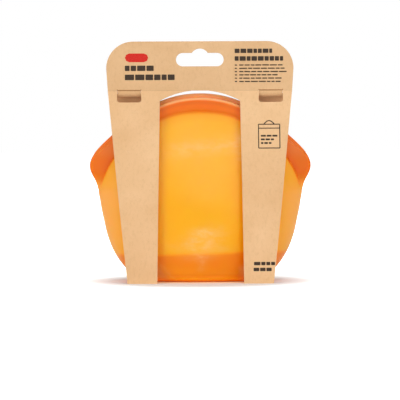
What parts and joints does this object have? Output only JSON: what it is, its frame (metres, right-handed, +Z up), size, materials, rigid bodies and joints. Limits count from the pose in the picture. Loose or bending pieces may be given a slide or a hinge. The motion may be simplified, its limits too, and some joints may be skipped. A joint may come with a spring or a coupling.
{
  "type": "reusable silicone bag",
  "caption": "Stand-up translucent silicone food bag with an arched press-seal mouth and two side ears, held in a folded kraft card hanging sleeve with a window.",
  "frame": {"origin": "on the resting plane, under the middle of the object", "axes": "+Z up, the front with the window faces -Y, +X to the viewer's right, the ears lie along X"},
  "size_m": [0.1484, 0.0638, 0.161],
  "materials": {
    "silicone_wall": "translucent yellow-orange silicone, satin",
    "silicone_lip": "the same silicone where it is thick, deeper orange, satin",
    "kraft_card": "uncoated kraft card, matt, 0.6 mm"
  },
  "bodies": {
    "bag": {"bag_base": "silicone_wall", "bag_front_wall": "silicone_wall", "bag_back_wall": "silicone_wall", "left_ear": "silicone_lip", "right_ear": "silicone_lip"},
    "front_lip": {"front_seal_rim": "silicone_lip", "seal_bead": "silicone_lip"},
    "back_lip": {"back_seal_rim": "silicone_lip"},
    "sleeve_base": {"sleeve_base_panel": "kraft_card"},
    "sleeve_front": {"front_left_strap": "kraft_card", "front_right_strap": "kraft_card"},
    "sleeve_back": {"back_left_strap": "kraft_card", "back_right_strap": "kraft_card"},
    "header_front": {"front_header": "kraft_card"},
    "header_back": {"back_header": "kraft_card"},
    "tab_left": {"left_lock_tab": "kraft_card"},
    "tab_right": {"right_lock_tab": "kraft_card"}
  },
  "joints": [
    {"name": "front_lip_open", "type": "hinge", "parent": "bag", "child": "front_lip", "pos_m": [0, -0.00235, 0.07965], "axis": [1, 0, 0], "range_deg": [0, 45], "stiffness_Nm_per_rad": 0.06},
    {"name": "back_lip_open", "type": "hinge", "parent": "bag", "child": "back_lip", "pos_m": [0, 0.00235, 0.07965], "axis": [-1, 0, 0], "range_deg": [0, 45], "stiffness_Nm_per_rad": 0.06},
    {"name": "sleeve_slide", "type": "slide", "parent": "bag", "child": "sleeve_base", "axis": [1, 0, 0], "range_m": [0, 0.165]},
    {"name": "front_card_fold", "type": "hinge", "parent": "sleeve_base", "child": "sleeve_front", "pos_m": [0, -0.03165, 0.00035], "axis": [1, 0, 0], "range_deg": [0, 85]},
    {"name": "back_card_fold", "type": "hinge", "parent": "sleeve_base", "child": "sleeve_back", "pos_m": [0, 0.03165, 0.00035], "axis": [-1, 0, 0], "range_deg": [0, 85]},
    {"name": "front_header_fold", "type": "hinge", "parent": "sleeve_front", "child": "header_front", "pos_m": [0, -0.00355, 0.1279], "axis": [1, 0, 0], "range_deg": [0, 100]},
    {"name": "back_header_fold", "type": "hinge", "parent": "sleeve_back", "child": "header_back", "pos_m": [0, 0.00355, 0.1279], "axis": [-1, 0, 0], "range_deg": [0, 100]},
    {"name": "left_tab_swing", "type": "hinge", "parent": "sleeve_front", "child": "tab_left", "pos_m": [-0.0475, -0.0032, 0.12755], "axis": [-1, 0, 0], "range_deg": [0, 90]},
    {"name": "right_tab_swing", "type": "hinge", "parent": "sleeve_front", "child": "tab_right", "pos_m": [0.0475, -0.0032, 0.12755], "axis": [-1, 0, 0], "range_deg": [0, 90]}
  ],
  "couplings": [
    {"joint": "front_card_fold", "follows": "front_lip_open", "ratio": 1.88},
    {"joint": "back_card_fold", "follows": "back_lip_open", "ratio": 1.88}
  ]
}
